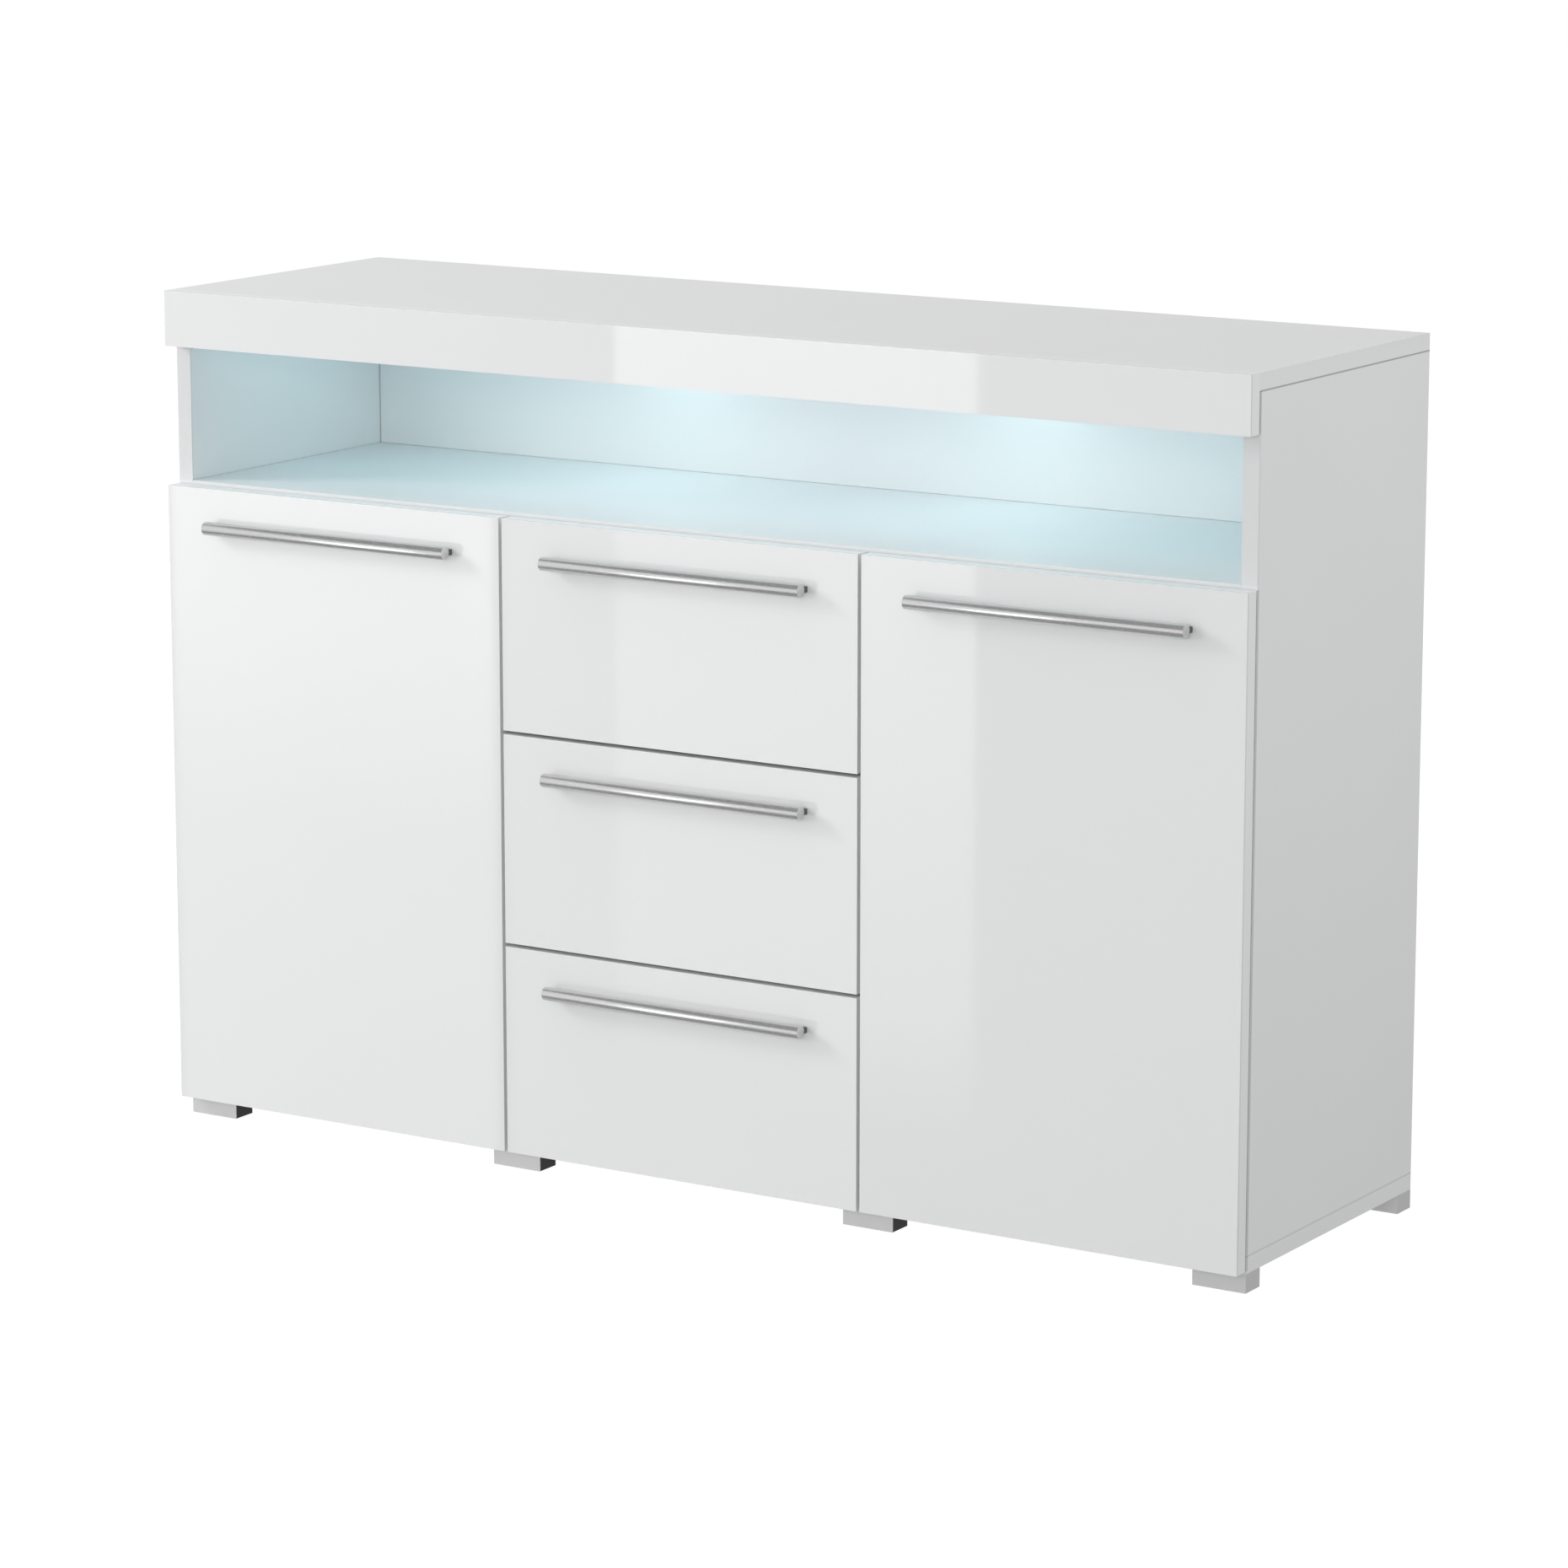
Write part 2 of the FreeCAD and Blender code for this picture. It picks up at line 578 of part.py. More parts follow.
def doors():
    """Both doors with their handles and hinges; the right one mirrors the left one."""
    panel = box(-HALF, -HALF + FRONT_WIDTH, FACE, FACE + BOARD, FRONTS_BOTTOM, FRONTS_TOP)
    add("left_door_panel", panel)
    add("right_door_panel", mirrored(panel))
    for side, x in (("left", -DOOR_CENTRE), ("right", DOOR_CENTRE)):
        bar, fittings = handle(x, FRONTS_TOP, side + "_door_panel")
        add(side + "_door_handle_bar", bar)
        add(side + "_door_handle_fittings", *fittings)
    links = []
    cups = []
    plates = []
    arms = []
    screws = []
    for z in HINGE_HEIGHTS:
        plate, plate_screws = hinge_plate(z)
        plates.append(plate)
        screws.extend(plate_screws)
        arms.append(hinge_arm(z))
        links.append(hinge_link(z))
        cups.extend(hinge_cup(z))
    add("left_hinge_links", *links)
    add("right_hinge_links", *[mirrored(link) for link in links])
    add("left_hinge_cups", *cups)
    add("right_hinge_cups", *[mirrored(cup) for cup in cups])
    add("hinge_plates", *both_sides(plates))
    add("hinge_arms", *both_sides(arms))
    add("hinge_screws", *both_sides(screws))


# ---------------------------------------------------------------- drawers and slides
def channel(web_x, low_x, high_x, half_height, y0, z):
    """A C-shaped rail: a web that starts at web_x and flanges from low_x to high_x."""
    y1 = y0 + SLIDE_LENGTH
    web = box(web_x, web_x + RAIL_SHEET, y0, y1, z - half_height, z + half_height)
    for sign in (-1, 1):
        edge = z + sign * half_height
        inner = edge - sign * RAIL_SHEET
        web = web.fuse(box(low_x, high_x, y0, y1, min(edge, inner), max(edge, inner)))
    return web.removeSplitter()


def slide_rails(z):
    """The outer, middle and inner rails of the slide on the left of the drawer bay."""
    half_heights = (22.5, 18.5, 14.0)
    outer_flange = 10.6           # all of these from the wall of the bay
    middle_web = 2.4
    middle_flange = 11.0
    inner_flange = 5.2
    y0 = CARCASS_FRONT + SLIDE_SETBACK
    wall = -BAY_HALF
    inner_web = wall + SLIDE_THICKNESS - RAIL_SHEET
    outer = channel(wall, wall, wall + outer_flange, half_heights[0], y0, z)
    middle = channel(wall + middle_web, wall + middle_web, wall + middle_flange, half_heights[1], y0, z)
    inner = channel(inner_web, wall + inner_flange, wall + SLIDE_THICKNESS, half_heights[2], y0, z)
    return outer, middle, inner


def drawer(name, front_bottom):
    """One drawer: front, box, handle, fittings and inner rails."""
    front_top = front_bottom + DRAWER_FRONT_HEIGHT
    half_front = FRONT_WIDTH / 2
    half_box = BAY_HALF - SLIDE_THICKNESS
    y0 = FACE + BOARD
    y1 = y0 + DRAWER_LENGTH
    z0 = front_bottom + DRAWER_LIFT
    z1 = z0 + DRAWER_HEIGHT
    inside = half_box - DRAWER_SIDE
    cam_inset = 45.0
    fit = 0.1
    tray = (z0 + BOTTOM_RISE, z0 + BOTTOM_RISE + DRAWER_BOTTOM)
    bottom = box(-inside - BOTTOM_GROOVE + fit, inside + BOTTOM_GROOVE - fit,
                 y0 - BOTTOM_GROOVE + fit, y1, tray[0], tray[1])
    groove = box(-inside - BOTTOM_GROOVE, inside + BOTTOM_GROOVE, y0 - BOTTOM_GROOVE, y1,
                 tray[0] - fit, tray[1] + fit)
    front_name = name + "_drawer_front"
    add(front_name, box(-half_front, half_front, FACE, y0, front_bottom, front_top))
    drill(front_name, groove)
    side = box(-half_box, -inside, y0, y1, z0, z1).cut(groove)
    back = box(-inside, inside, y1 - DRAWER_SIDE, y1, tray[1] + fit, z1)
    bar, fittings = handle(0.0, front_top, front_name)
    for z in (z0 + cam_inset, z1 - cam_inset):
        cam, bolt, hollow, tunnel = drawer_cam(-inside, y0, z)
        side = side.cut(hollow).cut(tunnel)
        fittings.extend(both_sides([cam, bolt]))
        drill(front_name, tunnel, mirrored(tunnel))
    add(name + "_drawer_sides", side, mirrored(side))
    add(name + "_drawer_back", back)
    add(name + "_drawer_bottom", bottom)
    add(name + "_drawer_handle_bar", bar)
    add(name + "_drawer_fittings", *fittings)
    return (z0 + z1) / 2


def drawer_cam(face_x, y0, z):
    """A small cam in the left drawer side and the bolt that it pulls from the front."""
    radius = 6.0
    depth = 9.0
    setback = 24.0
    bolt_radius = 2.5
    reach = 11.0
    slot_depth = 1.5
    slot_half_length = 4.2
    slot_half_width = 0.8
    fit = 0.05
    mouth = (face_x, y0 + setback, z)
    cam = rod(radius, mouth, (-1, 0, 0), depth)
    hollow = rod(radius + fit, mouth, (-1, 0, 0), depth)
    start = (face_x - DRAWER_SIDE / 2, y0 - reach, z)
    bolt = rod(bolt_radius, start, (0, 1, 0), reach + setback - radius - fit)
    tunnel = rod(bolt_radius + fit, start, (0, 1, 0), reach + setback)
    slot = box(face_x - slot_depth, face_x + slot_depth, mouth[1] - slot_half_length,
               mouth[1] + slot_half_length, z - slot_half_width, z + slot_half_width)
    return cam.cut(slot), bolt, hollow, tunnel


def drawers():
    """Three equal drawers, one above the other, each on a pair of slides."""
    for index, name in enumerate(DRAWERS):
        front_bottom = FRONTS_BOTTOM + index * (DRAWER_FRONT_HEIGHT + FRONT_GAP)
        slide_z = drawer(name, front_bottom)
        outer, middle, inner = slide_rails(slide_z)
        add(name + "_outer_rails", outer, mirrored(outer))
        add(name + "_drawer_middle_rails", middle, mirrored(middle))
        add(name + "_drawer_inner_rails", inner, mirrored(inner))


# ---------------------------------------------------------------- assembly
def merge_outer_rails():
    """The outer rails of all drawers in one node, because they are identical."""
    rails = []
    for name in DRAWERS:
        rails.extend(nodes.pop(name + "_outer_rails"))
    add("outer_rails", *rails)


def finish_panels():
    """Cut every remembered hole from its panel."""
    for name, tools in holes.items():
        body = nodes[name][0]
        for tool in tools:
            body = body.cut(tool)
        nodes[name] = [body.removeSplitter()]


def write_nodes():
    """Write each node as one STEP file."""
    os.makedirs("parts", exist_ok=True)
    for name, shapes in nodes.items():
        solids = [solid for shape in shapes for solid in shape.Solids]
        for solid in solids:
            if not solid.isValid() or solid.Volume <= 0:
                raise ValueError("bad solid in " + name)
        whole = solids[0] if len(solids) == 1 else Part.makeCompound(solids)
        whole.exportStep(os.path.join("parts", name + ".step"))
    print(len(nodes), "nodes")


def main():
    carcass_boards()
    rear_panel()
    shelves()
    joinery()
    feet()
    lights()
    doors()
    drawers()
    merge_outer_rails()
    add("cam_fittings", *carcass_fittings)
    add("wood_dowels", *dowels)
    finish_panels()
    write_nodes()


main()
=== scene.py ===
"""Looks of a white high-gloss sideboard with a lit open niche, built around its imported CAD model.

Everything is in metres in the CAD model's own frame: +X right, +Y back, +Z up, floor at z = 0.
"""

import math

import bmesh
import bpy
from mathutils import Matrix, Vector


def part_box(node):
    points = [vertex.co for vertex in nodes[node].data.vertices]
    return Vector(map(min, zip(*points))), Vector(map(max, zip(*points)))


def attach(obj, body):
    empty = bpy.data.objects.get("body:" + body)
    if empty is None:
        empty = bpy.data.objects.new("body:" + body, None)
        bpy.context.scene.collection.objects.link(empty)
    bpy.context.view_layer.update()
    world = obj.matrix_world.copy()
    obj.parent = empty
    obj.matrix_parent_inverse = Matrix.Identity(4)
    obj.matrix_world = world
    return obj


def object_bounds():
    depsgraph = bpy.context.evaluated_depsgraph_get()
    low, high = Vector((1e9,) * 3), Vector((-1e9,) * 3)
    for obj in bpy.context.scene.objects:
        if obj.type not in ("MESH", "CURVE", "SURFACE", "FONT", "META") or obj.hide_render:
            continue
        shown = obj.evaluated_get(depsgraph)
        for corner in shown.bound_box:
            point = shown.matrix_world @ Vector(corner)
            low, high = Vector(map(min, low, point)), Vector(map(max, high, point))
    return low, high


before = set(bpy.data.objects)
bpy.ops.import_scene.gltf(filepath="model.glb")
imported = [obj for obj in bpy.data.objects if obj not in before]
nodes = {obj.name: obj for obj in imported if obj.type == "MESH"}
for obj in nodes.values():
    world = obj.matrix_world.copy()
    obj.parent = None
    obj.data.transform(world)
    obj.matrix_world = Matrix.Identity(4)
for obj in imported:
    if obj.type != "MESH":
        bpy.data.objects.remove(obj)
cad_low, cad_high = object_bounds()
scene = bpy.context.scene

MM = 0.001

DRAWERS = ("top", "middle", "bottom")
FRONTS = {side + "_door": side + "_door_panel" for side in ("left", "right")}
FRONTS.update({name + "_drawer": name + "_drawer_front" for name in DRAWERS})

# Camera, seen from the right of the front
CAMERA_AZIMUTH = math.radians(32.22)
CAMERA_ELEVATION = math.radians(11.57)
CAMERA_DISTANCE = 6.001
CAMERA_LENS = 129.76
AIM_OFFSET = Vector((0.015, -0.001, -0.042))

# Stage
FLOOR_SIZE = 60.0
FLOOR_DROP = 0.2 * MM
FLOOR_GLOW = 0.97
FLOOR_ALBEDO = 0.10
BACKDROP_RADIANCE = 1.02
SKY_RADIANCE = 0.496
GROUND_RADIANCE = 0.448
HORIZON_BLEND = 0.35

# What polished surfaces mirror: an even tone, and a band round the horizon that adds to it. The band is
# brightest in front, and fades out on the right. Pairs say where a fade starts and ends along an axis.
MIRROR_EVEN = 0.336
MIRROR_FRONT = 0.48
MIRROR_BACK = 0.36
MIRROR_RIGHT_SHARE = 0.1
MIRROR_TOP = (0.32, 0.58)
MIRROR_BOTTOM = (-0.50, -0.24)
MIRROR_FRONT_TO_BACK = (-0.3, 0.3)
MIRROR_LEFT_TO_RIGHT = (0.1, 0.4)

# Cards that the gloss fronts mirror, in one plane in front of the object
CARD_PLANE = -3.06
CARD_FEATHER = 0.02

# Lines painted on the laminate and the foil. JOINT_SHADE_HALF and CORNER_HALF are half a line's width, and
# BEYOND ends a band that runs past the object.
# On the laminate these lines are painted shade in the joints, gaps and niche corners, apart from the edge
# band's line beside the niche
LINE_SOFTNESS = 0.25 * MM
JOINT_SHADE_HALF = 0.8 * MM
CORNER_HALF = 1.3 * MM
BEYOND = 1.0

# Vertices closer than this are one
WELD = 0.001 * MM

# Niche lamps, and the glow that they leave under the niche's ceiling
LAMP_COLOR = (0.64, 0.96, 1.0)
LAMP_POWER = 0.048
LAMP_GAP = 1.0 * MM
GLOW_DEPTH = 0.3
GLOWS = (
    # name, width, drop below the lenses, power, colour
    ("niche_middle", 0.70, 6.0 * MM, 0.122, (1.0, 0.47, 0.43)),
    ("niche_wide", 1.26, 2.0 * MM, 0.63, (0.487, 0.918, 1.0)),
)


# ---------------------------------------------------------------- camera


def aim(thing, place, target):
    """Puts a camera or light at place, looking at target."""
    thing.location = place
    thing.rotation_euler = (Vector(target) - Vector(place)).to_track_quat("-Z", "Y").to_euler()


def make_camera():
    """The long-lens camera at the sideboard's front right, a little above it."""
    data = bpy.data.cameras.new("camera")
    data.lens = CAMERA_LENS
    data.clip_start = 0.05
    data.clip_end = 200.0
    camera = bpy.data.objects.new("camera", data)
    scene.collection.objects.link(camera)
    target = (cad_low + cad_high) / 2 + AIM_OFFSET
    flat = math.cos(CAMERA_ELEVATION)
    back = Vector(
        (
            math.sin(CAMERA_AZIMUTH) * flat,
            -math.cos(CAMERA_AZIMUTH) * flat,
            math.sin(CAMERA_ELEVATION),
        )
    )
    aim(camera, target + back * CAMERA_DISTANCE, target)
    scene.camera = camera


# ---------------------------------------------------------------- stage


def add_area_light(name, place, target, width, height, power, color=(1, 1, 1)):
    """A soft rectangular light that neither the camera nor polish sees."""
    data = bpy.data.lights.new(name, "AREA")
    data.shape = "RECTANGLE"
    data.size = width
    data.size_y = height
    data.energy = power
    data.color = color
    light = bpy.data.objects.new(name, data)
    scene.collection.objects.link(light)
    light.visible_camera = False
    light.visible_glossy = False
    aim(light, place, target)
    return light


def make_world():
    """White behind the object, soft light from sky and ground, and a bright band for polish to mirror."""
    world = bpy.data.worlds.new("studio")
    world.use_nodes = True
    scene.world = world
    tree = world.node_tree
    place = tree.nodes.new("ShaderNodeTexCoord")
    axes = tree.nodes.new("ShaderNodeSeparateXYZ")
    tree.links.new(place.outputs["Generated"], axes.inputs[0])
    rays = tree.nodes.new("ShaderNodeLightPath")

    def ramp(axis, start, end, low, high):
        """A smooth step along one axis of the direction, from low to high."""
        step = tree.nodes.new("ShaderNodeMapRange")
        step.interpolation_type = "SMOOTHSTEP"
        for socket, value in zip(("From Min", "From Max", "To Min", "To Max"), (start, end, low, high)):
            step.inputs[socket].default_value = value
        tree.links.new(axes.outputs[axis], step.inputs["Value"])
        return step.outputs[0]

    def times(first, second):
        """The product of two values."""
        product = tree.nodes.new("ShaderNodeMath")
        product.operation = "MULTIPLY"
        tree.links.new(first, product.inputs[0])
        tree.links.new(second, product.inputs[1])
        return product.outputs[0]

    def background(strength):
        """A white background shader of that strength, a number or a node's output."""
        shader = tree.nodes.new("ShaderNodeBackground")
        shader.inputs["Color"].default_value = (1.0, 1.0, 1.0, 1.0)
        if isinstance(strength, float):
            shader.inputs["Strength"].default_value = strength
        else:
            tree.links.new(strength, shader.inputs["Strength"])
        return shader.outputs[0]

    def choose(ray, otherwise, chosen):
        """One shader for one kind of ray, and another for the rest."""
        mix = tree.nodes.new("ShaderNodeMixShader")
        tree.links.new(rays.outputs[ray], mix.inputs[0])
        tree.links.new(otherwise, mix.inputs[1])
        tree.links.new(chosen, mix.inputs[2])
        return mix.outputs[0]

    soft = background(ramp("Z", -HORIZON_BLEND, HORIZON_BLEND, GROUND_RADIANCE, SKY_RADIANCE))
    band = times(ramp("Z", *MIRROR_TOP, 1.0, 0.0), ramp("Z", *MIRROR_BOTTOM, 0.0, 1.0))
    front = ramp("Y", *MIRROR_FRONT_TO_BACK, MIRROR_FRONT, MIRROR_BACK)
    left = ramp("X", *MIRROR_LEFT_TO_RIGHT, 1.0, MIRROR_RIGHT_SHARE)
    lift = tree.nodes.new("ShaderNodeMath")
    lift.operation = "ADD"
    tree.links.new(times(band, times(front, left)), lift.inputs[0])
    lift.inputs[1].default_value = MIRROR_EVEN
    mirrored = background(lift.outputs[0])
    seen = background(BACKDROP_RADIANCE)
    shader = choose("Is Camera Ray", choose("Is Glossy Ray", soft, mirrored), seen)
    tree.links.new(shader, tree.nodes["World Output"].inputs["Surface"])


def make_floor():
    """A plain pale floor, bright enough to run into the backdrop."""
    mesh = bpy.data.meshes.new("floor")
    half = FLOOR_SIZE / 2
    corners = [(-half, -half, 0), (half, -half, 0), (half, half, 0), (-half, half, 0)]
    mesh.from_pydata(corners, [], [(0, 1, 2, 3)])
    floor = bpy.data.objects.new("floor", mesh)
    scene.collection.objects.link(floor)
    floor.location.z = -FLOOR_DROP
    material = bpy.data.materials.new("pale_floor")
    material.use_nodes = True
    principled = material.node_tree.nodes["Principled BSDF"]
    principled.inputs["Base Color"].default_value = (FLOOR_ALBEDO,) * 3 + (1.0,)
    principled.inputs["Roughness"].default_value = 1.0
    principled.inputs["Specular IOR Level"].default_value = 0.0
    principled.inputs["Emission Color"].default_value = (1.0, 1.0, 1.0, 1.0)
    principled.inputs["Emission Strength"].default_value = FLOOR_GLOW
    mesh.materials.append(material)
    floor.visible_glossy = False
    floor.visible_diffuse = False


def add_card(name, left, right, stops):
    """A clear upright card whose glow only polish mirrors.

    stops lists (height, radiance) from the bottom up.
    """
    bottom = stops[0][0]
    top = stops[-1][0]
    corners = [(left, bottom), (right, bottom), (right, top), (left, top)]
    mesh = bpy.data.meshes.new(name)
    mesh.from_pydata([(x, CARD_PLANE, z) for x, z in corners], [], [(0, 3, 2, 1)])
    card = bpy.data.objects.new(name, mesh)
    scene.collection.objects.link(card)
    material = bpy.data.materials.new(name)
    material.use_nodes = True
    tree = material.node_tree
    tree.nodes.clear()
    place = tree.nodes.new("ShaderNodeTexCoord")
    axes = tree.nodes.new("ShaderNodeSeparateXYZ")
    tree.links.new(place.outputs["Object"], axes.inputs[0])
    strength = None
    for (low, start), (high, end) in zip(stops, stops[1:]):
        step = tree.nodes.new("ShaderNodeMapRange")
        for socket, value in zip(("From Min", "From Max", "To Max"), (low, high, end - start)):
            step.inputs[socket].default_value = value
        tree.links.new(axes.outputs["Z"], step.inputs["Value"])
        total = tree.nodes.new("ShaderNodeMath")
        total.operation = "ADD"
        total.inputs[1].default_value = start
        tree.links.new(step.outputs[0], total.inputs[0])
        if strength is not None:
            total.inputs[1].default_value = 0.0
            tree.links.new(strength, total.inputs[1])
        strength = total.outputs[0]
    for edge, inside in ((left, left + CARD_FEATHER), (right, right - CARD_FEATHER)):
        fade = tree.nodes.new("ShaderNodeMapRange")
        fade.interpolation_type = "SMOOTHSTEP"
        fade.inputs["From Min"].default_value = edge
        fade.inputs["From Max"].default_value = inside
        tree.links.new(axes.outputs["X"], fade.inputs["Value"])
        product = tree.nodes.new("ShaderNodeMath")
        product.operation = "MULTIPLY"
        tree.links.new(strength, product.inputs[0])
        tree.links.new(fade.outputs[0], product.inputs[1])
        strength = product.outputs[0]
    glow = tree.nodes.new("ShaderNodeEmission")
    tree.links.new(strength, glow.inputs["Strength"])
    clear = tree.nodes.new("ShaderNodeBsdfTransparent")
    both = tree.nodes.new("ShaderNodeAddShader")
    tree.links.new(glow.outputs[0], both.inputs[0])
    tree.links.new(clear.outputs[0], both.inputs[1])
    output = tree.nodes.new("ShaderNodeOutputMaterial")
    tree.links.new(both.outputs[0], output.inputs["Surface"])
    mesh.materials.append(material)
    card.visible_camera = False
    card.visible_diffuse = False
    card.visible_shadow = False
    card.visible_transmission = False


def make_studio_lights():
    """A key from the front left, soft fills, and the cards that the gloss fronts mirror."""
    front = (0.0, -0.2, 0.5)
    add_area_light("key", (-3.4, -2.0, 2.4), front, 1.2, 1.2, 54.0)
    add_area_light("front_left", (-2.2, -4.2, 1.4), front, 2.0, 1.2, 30.5)
    add_area_light("front_right", (2.0, -4.2, 1.5), front, 2.0, 1.2, 36.0)
    add_area_light("top_fill", (-0.9, -0.2, 3.2), (0.0, 0.0, 0.9), 2.0, 2.0, 14.8)
    add_area_light("right_fill", (2.4, 0.2, 1.3), (0.66, 0.0, 0.6), 1.0, 1.0, 9.0)
    add_area_light("rear_fill", (-1.2, 3.6, 1.6), (0.0, 0.2, 0.5), 2.0, 1.2, 24.0)
    add_card("middle_card", -2.02, -1.31, [(-0.80, 0.0), (-0.60, 0.9), (0.60, 2.5)])
    add_card("drawer_card", -2.24, -1.53, [(-1.10, 0.7), (0.26, 0.5)])
    add_card("left_card", -2.95, -2.25, [(-1.60, 1.2), (-0.40, 1.2), (0.05, 2.4), (0.20, 2.4), (0.40, 0.6)])


# ---------------------------------------------------------------- materials


class Finish:
    """A procedural material: one Principled shader, with textures placed in the object's own space."""

    def __init__(self, name, color, roughness, **sockets):
        self.material = bpy.data.materials.new(name)
        self.material.use_nodes = True
        self.tree = self.material.node_tree
        self.shader = self.tree.nodes["Principled BSDF"]
        self.shader.inputs["Base Color"].default_value = (*color, 1.0)
        self.shader.inputs["Roughness"].default_value = roughness
        for socket, value in sockets.items():
            self.shader.inputs[socket.replace("_", " ")].default_value = value
        self.place = self.tree.nodes.new("ShaderNodeTexCoord")

    def node(self, kind):
        """A new node of this material's tree."""
        return self.tree.nodes.new("ShaderNode" + kind)

    def join(self, output, socket):
        """Links an output to an input."""
        self.tree.links.new(output, socket)

    def stretched(self, stretch):
        """Object coordinates, multiplied along each axis."""
        mapping = self.node("Mapping")
        mapping.inputs["Scale"].default_value = stretch
        self.join(self.place.outputs["Object"], mapping.inputs["Vector"])
        return mapping.outputs[0]

    def noise(self, per_metre, detail=2.0, stretch=(1.0, 1.0, 1.0)):
        """Soft noise with so many cells to a metre."""
        noise = self.node("TexNoise")
        noise.inputs["Scale"].default_value = per_metre
        noise.inputs["Detail"].default_value = detail
        self.join(self.stretched(stretch), noise.inputs["Vector"])
        return noise.outputs["Fac"]

    def ranged(self, value, low, high, from_low=0.3, from_high=0.7):
        """A value spread over low to high. Noise lies mostly between 0.3 and 0.7."""
        spread = self.node("MapRange")
        spread.inputs["From Min"].default_value = from_low
        spread.inputs["From Max"].default_value = from_high
        spread.inputs["To Min"].default_value = low
        spread.inputs["To Max"].default_value = high
        self.join(value, spread.inputs["Value"])
        return spread.outputs[0]

    def tint(self, value, dark, light):
        """Base colour between two tones by a texture value."""
        mix = self.node("Mix")
        mix.data_type = "RGBA"
        mix.inputs["A"].default_value = (*dark, 1.0)
        mix.inputs["B"].default_value = (*light, 1.0)
        factor = self.ranged(value, 0.0, 1.0)
        self.join(factor, mix.inputs["Factor"])
        self.join(mix.outputs["Result"], self.shader.inputs["Base Color"])

    def rough(self, value, low, high):
        """Roughness from low to high by a texture value."""
        self.join(self.ranged(value, low, high), self.shader.inputs["Roughness"])

    def band(self, axis, low, high, both_ways=False):
        """1 between two places along an object axis, 0 outside.

        both_ways drops the sign, for the same band on either side of the middle.
        """
        axes = self.node("SeparateXYZ")
        self.join(self.place.outputs["Object"], axes.inputs[0])
        value = axes.outputs[axis]
        if both_ways:
            plain = self.node("Math")
            plain.operation = "ABSOLUTE"
            self.join(value, plain.inputs[0])
            value = plain.outputs[0]
        after_low = self.ranged(value, 0.0, 1.0, low - LINE_SOFTNESS, low + LINE_SOFTNESS)
        before_high = self.ranged(value, 1.0, 0.0, high - LINE_SOFTNESS, high + LINE_SOFTNESS)
        return self.times(after_low, before_high)

    def times(self, first, second):
        """The product of two values."""
        product = self.node("Math")
        product.operation = "MULTIPLY"
        self.join(first, product.inputs[0])
        self.join(second, product.inputs[1])
        return product.outputs[0]

    def darken(self, mask, amount):
        """Base colour darker by that share where the mask is 1."""
        base = self.shader.inputs["Base Color"]
        mix = self.node("Mix")
        mix.data_type = "RGBA"
        mix.blend_type = "MULTIPLY"
        self.join(base.links[0].from_socket, mix.inputs["A"])
        mix.inputs["B"].default_value = (1 - amount, 1 - amount, 1 - amount, 1.0)
        self.join(mask, mix.inputs["Factor"])
        self.join(mix.outputs["Result"], base)

    def duller(self, mask, amount):
        """Roughness higher by that amount where the mask is 1."""
        rough = self.shader.inputs["Roughness"]
        more = self.node("Math")
        more.operation = "MULTIPLY_ADD"
        more.inputs[1].default_value = amount
        self.join(mask, more.inputs[0])
        self.join(rough.links[0].from_socket, more.inputs[2])
        self.join(more.outputs[0], rough)

    def bump(self, height, depth, strength):
        """Relief of that depth in metres from a texture value, over any relief that is there."""
        bump = self.node("Bump")
        bump.inputs["Strength"].default_value = strength
        bump.inputs["Distance"].default_value = depth
        self.join(height, bump.inputs["Height"])
        normal = self.shader.inputs["Normal"]
        if normal.links:
            self.join(normal.links[0].from_socket, bump.inputs["Normal"])
        self.join(bump.outputs[0], normal)


def tones(color, spread):
    """A darker and a lighter version of a colour."""
    return [tuple(channel * factor for channel in color) for factor in (1 - spread, 1 + spread)]


def gloss_front():
    """High-gloss white foil over fibreboard, with the faint waviness of pressed foil and duller edges."""
    color = (0.86, 0.865, 0.87)
    finish = Finish("gloss_white_foil", color, 0.05, IOR=1.52)
    finish.tint(finish.noise(3.0), *tones(color, 0.004))
    finish.rough(finish.noise(40.0, 3.0), 0.012, 0.03)
    finish.bump(finish.noise(30.0, 1.0), 0.02 * MM, 0.35)
    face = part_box("front_fascia")[0].y
    edge_line = (face + 0.6 * MM, face + 2.6 * MM)
    finish.duller(finish.band("Y", face + 0.7 * MM, BEYOND), 0.45)
    finish.darken(finish.band("Y", *edge_line), 0.16)
    return finish.material


def paint_joint_shade(finish):
    """Paints shade along the joint between a side panel and the top or bottom panel, on the sides and the
    rear.
    """
    low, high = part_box("right_side_panel")
    end = cad_high.x - JOINT_SHADE_HALF
    rear = cad_high.y - JOINT_SHADE_HALF
    for joint, amount in ((high.z, 0.5), (low.z, 0.2)):
        # A painted shade line in the joint, stronger under the top than over the bottom
        joint_shade = finish.band("Z", joint - JOINT_SHADE_HALF, joint + JOINT_SHADE_HALF)
        finish.darken(finish.times(joint_shade, finish.band("X", end, BEYOND, True)), amount)
        finish.darken(finish.times(joint_shade, finish.band("Y", rear, BEYOND)), amount)


def paint_edging_and_gap_shade(finish):
    """Draws the edge band's line on the front of the side panels, made heavier beside a door or the fascia
    by painted shade from the gap.
    """
    low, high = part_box("right_side_panel")
    # Beside the niche this is the edge band's line; beside the door and the fascia it is painted shade from
    # the gap
    for front, width, amount in (
        ("left_door_panel", 3.6 * MM, 0.3),
        ("niche_back_panel", 1.6 * MM, 0.16),
        ("front_fascia", 2.6 * MM, 0.22),
    ):
        bottom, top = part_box(front)
        edging_and_gap_shade = finish.band("Y", low.y, low.y + width)
        finish.darken(finish.times(edging_and_gap_shade, finish.band("Z", bottom.z, min(top.z, high.z))), amount)


